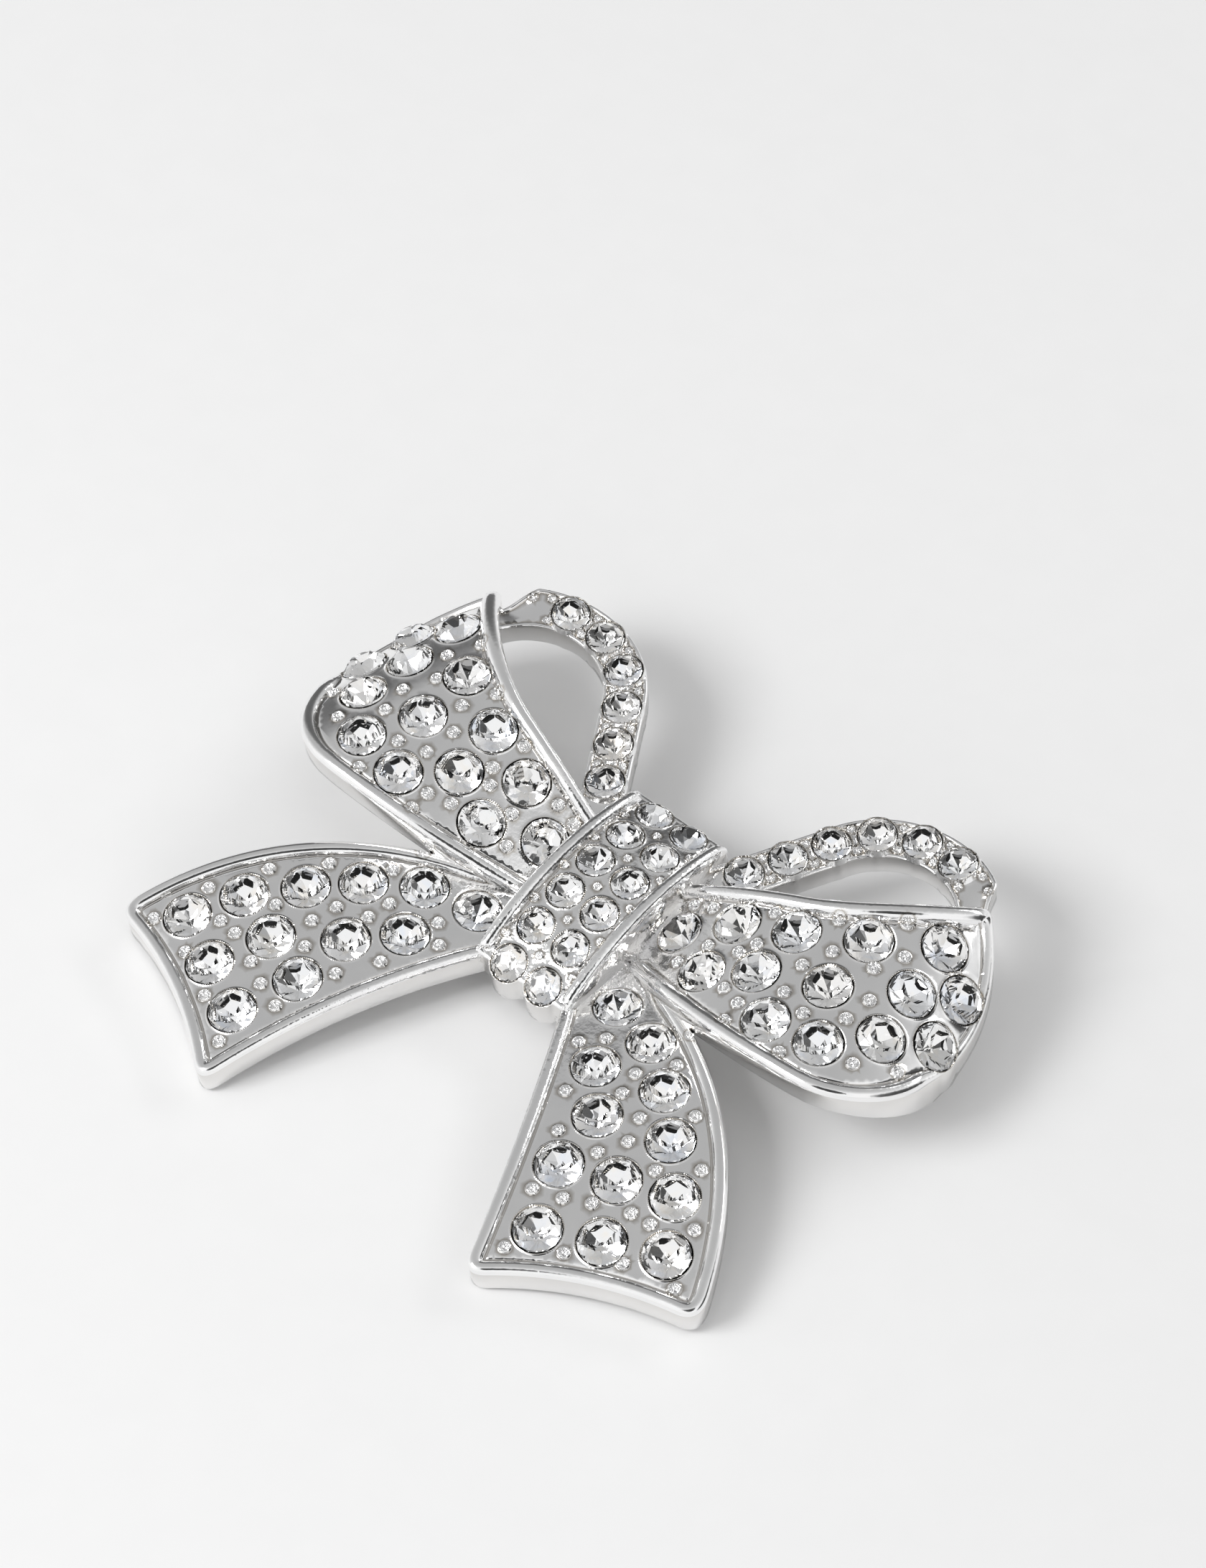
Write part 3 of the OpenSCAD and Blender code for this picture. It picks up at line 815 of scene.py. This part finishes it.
def loop_casting():
    """A loop's front, from the knot to the fold."""
    sides = [((2.5, -4.5), -0.8, 1), ((16.8, -11.1), -1.6, 1), ((24.2, -6.8), -1.6, 0.35),
             ((23.25, 6.1), 0.75, 1), ((13, 1.95), 0.1, 1), ((2.5, 2.1), 0, 0.1)]
    stones = [p for row in LOOP_PLACES for p in row]

    def swell(edge):
        """The upper rim broadens towards the fold."""
        out = np.clip((edge[:, 0] - SWELL_START) / SWELL_RUN, 0, 1) ** 1.5
        upper = np.clip((edge[:, 1] + 0.5) / 1.5, 0, 1)
        return 1 + SWELL * out * upper

    return Casting(LOOP, outline(sides, LOOP_CORNER), stones, PANEL_STONE, LOOP_BEADS,
                   rim_w=1.0, rim_h=0.45, swell=swell)


STRAND_COLLAR = 0.35       # the strand's seats stand this high over its field
STRAND_BEAD_OUT = 0.86     # its beads, to each side of its middle
LAST_BEAD = (10.9, 0.75)   # the one by the fold: along and across
SCOOP_AT = 12.4            # along the strand, where it dips before the fold
SCOOP_DEPTH = 0.5
SCOOP_R = 1.0


def strand_outline():
    """The strand's outer edge out to the fold, and its inner edge back."""
    half = STRAND_W / 2
    out = [strand_place(s, half) for s in np.arange(-STRAIGHT_L, STRAND_END, SAMPLE)]
    back = [strand_place(s, -half) for s in np.arange(STRAND_END, -STRAIGHT_L, -SAMPLE)]
    a = math.radians(LOOP_TURN)
    fold = np.array([math.cos(a), math.sin(a)])
    points = np.array(out + back)
    over = np.maximum(points @ fold - FOLD_U, 0)
    return points - over[:, None] * fold


def strand_casting():
    """A loop's back: a single row of collared crystals with a low rim."""
    beads = []
    for i in range(STRAND_STONES):
        along = STRAND_FIRST + (i + 0.5) * STRAND_PITCH
        beads += [strand_place(along, side * STRAND_BEAD_OUT) for side in (-1, 1)]
    beads.append(strand_place(*LAST_BEAD))
    edge = strand_outline()
    dip = strand_place(SCOOP_AT)

    def scoop(points):
        """The field's dip at the strand's end."""
        return -SCOOP_DEPTH * np.exp(-(np.linalg.norm(points - dip, axis=1) / SCOOP_R) ** 2)

    return Casting(STRAND, (edge, np.ones(len(edge))), STRAND_PLACES, BACK_STONE, beads,
                   bead_scale=0.72, rim_w=0.3, rim_h=0.12, collar=STRAND_COLLAR,
                   lip=0.2, lip_share=0.3, blend=4, scoop=scoop)


KNOT_SHORT = 0.5      # the face of the knot ends this far before its lower edge
KNOT_BEADS_X = (-2.72, 0, 2.72)


def knot_casting():
    """The band over the knot, with a bead in the middle and by each edge between its rows."""
    low = KNOT_Y - KNOT_HALF_L + KNOT_SHORT
    high = KNOT_Y + KNOT_HALF_L
    sides = [((low, KNOT_HALF_W), 0, 0.15), ((low, -KNOT_HALF_W), 0, 1),
             ((high, -KNOT_HALF_W), 0, 0.15), ((high, KNOT_HALF_W), 0, 1)]
    stones = [knot_place(side * KNOT_STONE_X, knot_angle(i))
              for i in range(KNOT_ROWS) for side in (-1, 1)]
    beads = [knot_place(x, knot_angle(i + 0.5)) for i in range(-1, KNOT_ROWS) for x in KNOT_BEADS_X]
    return Casting(KNOT, outline(sides, KNOT_CORNER), stones, KNOT_STONE, beads,
                   bead_scale=0.66, rim_w=0.95, rim_h=0.5)


SIDE_CASTINGS = {"tail": tail_casting, "loop_front": loop_casting, "loop_back": strand_casting}
for node, casting in SIDE_CASTINGS.items():
    verts, faces, painted_shade = casting().build()
    add_mesh("right_" + node + "_cast", verts, faces, [PLATE], "bow",
             "right_" + node, painted_shade)
    verts, faces = mirrored(verts, faces)
    add_mesh("left_" + node + "_cast", verts, faces, [PLATE], "bow",
             "left_" + node, painted_shade)
verts, faces, painted_shade = knot_casting().build()
add_mesh("knot_band_cast", verts, faces, [PLATE], "bow", "knot_band", painted_shade)


# ---- Crystals ------------------------------------------------------------------------

CROWN, PAVILION = 0, 1     # the materials' places: glass in front, foil behind
CRYSTAL_PLAY = 0.02        # how much smaller a crystal is than its nominal radius
CRYSTAL_LEAN = math.radians(4)


def brilliant(d):
    """A faceted round crystal on its girdle: vertices, faces and each face's material."""
    r = d / 2 - CRYSTAL_PLAY
    table_r, table_z = 0.60 * r, 0.20 * d
    girdle = 0.025 * d                               # half its height
    waist_r, waist_z = 0.90 * r, -girdle - 0.075 * d  # where the foil's facets meet

    def ring(radius, z, count, shift):
        """Corners round the axis, turned by a share of a step."""
        return [(radius * math.cos(2 * math.pi * (i + shift) / count),
                 radius * math.sin(2 * math.pi * (i + shift) / count), z) for i in range(count)]

    table = ring(table_r, table_z, 8, 0)
    top = ring(r, girdle, 16, 0)
    bottom = ring(r, -girdle, 16, 0)
    waist = ring(waist_r, waist_z, 8, 0.5)
    verts = table + top + bottom + waist + [(0, 0, -CULET * d)]
    T, G, B, L, C = 0, 8, 24, 40, 48     # where the table, girdle, its foot, waist and culet start
    faces, kind = [tuple(range(8))], [CROWN]
    for i in range(8):
        j = (i + 1) % 8
        h = (i - 1) % 8
        faces += [(T + i, G + 2 * i + 1, T + j), (T + i, G + 2 * i, G + 2 * i + 1),
                  (T + j, G + 2 * i + 1, G + (2 * i + 2) % 16),
                  (C, L + i, L + h), (L + i, B + 2 * i, L + h), (L + i, B + 2 * i + 1, B + 2 * i),
                  (L + i, B + (2 * i + 2) % 16, B + 2 * i + 1)]
        kind += [CROWN] * 3 + [PAVILION] * 4
    for i in range(16):
        j = (i + 1) % 16
        faces.append((G + i, B + i, B + j, G + j))
        kind.append(CROWN)
    return np.array(verts), faces, kind


def crystals(name, sheet, places, d, side, lift=0.0):
    """The crystals of one CAD node, each turned a little differently in its seat."""
    verts, faces, kinds = [], [], []
    start = 0
    shape, shape_faces, kind = brilliant(d)
    for flat in sheet.unroll(places, RIM_H):
        origin = sheet.place([flat], lift)[0]
        out = sheet.place([flat], lift + 1)[0] - origin
        turn = Vector((0, 0, 1)).rotation_difference(Vector(out)).to_matrix()
        spin = Matrix.Rotation(rng.uniform(0, math.tau), 3, "Z")
        angle = rng.uniform(0, CRYSTAL_LEAN)
        lean = Matrix.Rotation(angle, 3, Vector((rng.uniform(-1, 1), rng.uniform(-1, 1), 0)))
        placed = shape @ np.array(turn @ lean @ spin).T + origin
        if side == "left":
            placed = placed * np.array([-1, 1, 1])
        verts.append(placed)
        for f, k in zip(shape_faces, kind):
            f = tuple(start + i for i in f)
            faces.append(tuple(reversed(f)) if side == "left" else f)
            kinds.append(k)
        start += len(placed)
    piece = add_mesh(name + "_cut", np.concatenate(verts), faces, [GLASS, FOIL], "bow",
                     name, sharp=0)
    piece.data.polygons.foreach_set("material_index", kinds)
    return piece


rng = random.Random(7)
for side in ("left", "right"):
    for i, places in enumerate(TAIL_PLACES):
        crystals(f"{side}_tail_crystals_{i + 1}", TAIL, places, PANEL_STONE, side)
    for i, places in enumerate(LOOP_PLACES):
        crystals(f"{side}_loop_crystals_{i + 1}", LOOP, places, PANEL_STONE, side)
    crystals(f"{side}_loop_back_crystals", STRAND, STRAND_PLACES, BACK_STONE, side, lift=STRAND_COLLAR)
    places = [knot_place(KNOT_STONE_X, knot_angle(i)) for i in range(KNOT_ROWS)]
    crystals(f"{side}_knot_crystals", KNOT, places, KNOT_STONE, side)


# ---- Pin, hinge and catch ------------------------------------------------------------

for node in ("pin_bar", "hinge_block", "hinge_rivet", "pin_stem", "catch_block", "catch_lock"):
    piece = frame["nodes"][node]
    piece.data.materials.clear()
    piece.data.materials.append(STEEL)


# ---- Floor, light and camera ---------------------------------------------------------

FLOOR_HALF = 2.0      # half the floor's width, in metres


def floor():
    """The white paper that the bow lies on."""
    mesh = bpy.data.meshes.new("floor")
    corners = [(x * FLOOR_HALF, y * FLOOR_HALF, 0) for x, y in ((-1, -1), (1, -1), (1, 1), (-1, 1))]
    mesh.from_pydata(corners, [], [(0, 1, 2, 3)])
    piece = bpy.data.objects.new("floor", mesh)
    bpy.context.scene.collection.objects.link(piece)
    material, tree, shader = node_material("floor_paper")
    colour = grey_ramp(tree, noise(tree, 300), [(0.3, 0.915), (0.7, 0.925)])
    tree.links.new(colour, shader.inputs["Base Color"])
    shader.inputs["Roughness"].default_value = 0.9
    shader.inputs["Specular IOR Level"].default_value = 0.1
    mesh.materials.append(material)


BOW_CENTRE = (0, 0, 0.003)


def area_light(name, place, width, height, power):
    """A rectangular lamp turned to the bow, in metres and watts."""
    data = bpy.data.lights.new(name, "AREA")
    data.shape = "RECTANGLE"
    data.size, data.size_y = width, height
    data.energy = power
    lamp = bpy.data.objects.new(name, data)
    lamp.location = place
    lamp.rotation_euler = (Vector(BOW_CENTRE) - Vector(place)).to_track_quat("-Z", "Y").to_euler()
    bpy.context.scene.collection.objects.link(lamp)


SKY_STRENGTH = 0.96

# Each lamp: name, place, width, height and power
LAMPS = [("key_left", (-0.17, -0.33, 0.36), 0.22, 0.22, 1.35),
         ("fill_top", (0.10, 0.30, 0.22), 0.24, 0.06, 0.15)]

# The sky is white, with a soft grey panel overhead and small dark ones, as a studio has.
# Each: the way it lies, and (cosine from it, brightness) stops, the outermost two first.
SKY = [
    ((-0.42, 0.49, 0.77), [(0.3, 1.0), (1.0, 0.46), (0.62, 0.62), (0.8, 0.5)]),
    ((-0.64, 0.74, 0.20), [(0.80, 1.0), (1.0, 0.26), (0.88, 0.5), (0.94, 0.28)]),
    ((0.42, -0.49, 0.77), [(0.945, 1.0), (1.0, 0.05), (0.955, 0.08)]),
    ((0.9, 0.35, 0.15), [(0.86, 1.0), (1.0, 0.06), (0.93, 0.12)]),
]


def studio():
    """The sky, which is all its panels multiplied, and the lamps."""
    world = bpy.data.worlds.new("studio")
    bpy.context.scene.world = world
    world.use_nodes = True
    tree = world.node_tree
    where = tree.nodes.new("ShaderNodeTexCoord")
    sky = None
    for direction, stops in SKY:
        towards = tree.nodes.new("ShaderNodeVectorMath")
        towards.operation = "DOT_PRODUCT"
        towards.inputs[1].default_value = Vector(direction).normalized()
        tree.links.new(where.outputs["Generated"], towards.inputs[0])
        part = grey_ramp(tree, towards.outputs["Value"], stops)
        if sky is not None:
            both = tree.nodes.new("ShaderNodeMix")
            both.data_type, both.blend_type = "RGBA", "MULTIPLY"
            both.inputs["Factor"].default_value = 1.0
            tree.links.new(sky, both.inputs["A"])
            tree.links.new(part, both.inputs["B"])
            part = both.outputs["Result"]
        sky = part
    tree.links.new(sky, tree.nodes["Background"].inputs["Color"])
    tree.nodes["Background"].inputs["Strength"].default_value = SKY_STRENGTH
    for lamp in LAMPS:
        area_light(*lamp)


# The camera in the bow's own plane, in mm
CAMERA_AT = (131.23, -122.38, 265.03)
CAMERA_AHEAD = (-0.4212, 0.3936, -0.8171)
CAMERA_RIGHT = (0.7563, 0.6498, -0.0768)
CAMERA_LENS = 116.68
CAMERA_SENSOR = 36.0


def camera():
    """The photo's camera."""
    data = bpy.data.cameras.new("camera")
    data.lens, data.sensor_width = CAMERA_LENS, CAMERA_SENSOR
    data.clip_start, data.clip_end = 0.01, 10
    view = bpy.data.objects.new("camera", data)
    ahead, right = (Vector(tilt @ np.array(v)).normalized() for v in (CAMERA_AHEAD, CAMERA_RIGHT))
    right = (right - right.dot(ahead) * ahead).normalized()
    axes = Matrix((right, right.cross(ahead), -ahead)).transposed().to_4x4()
    view.matrix_world = Matrix.Translation(lie([CAMERA_AT])[0]) @ axes
    bpy.context.scene.collection.objects.link(view)
    bpy.context.scene.camera = view


floor()
studio()
camera()
bpy.context.scene.view_settings.view_transform = "Standard"

bpy.context.view_layer.update()
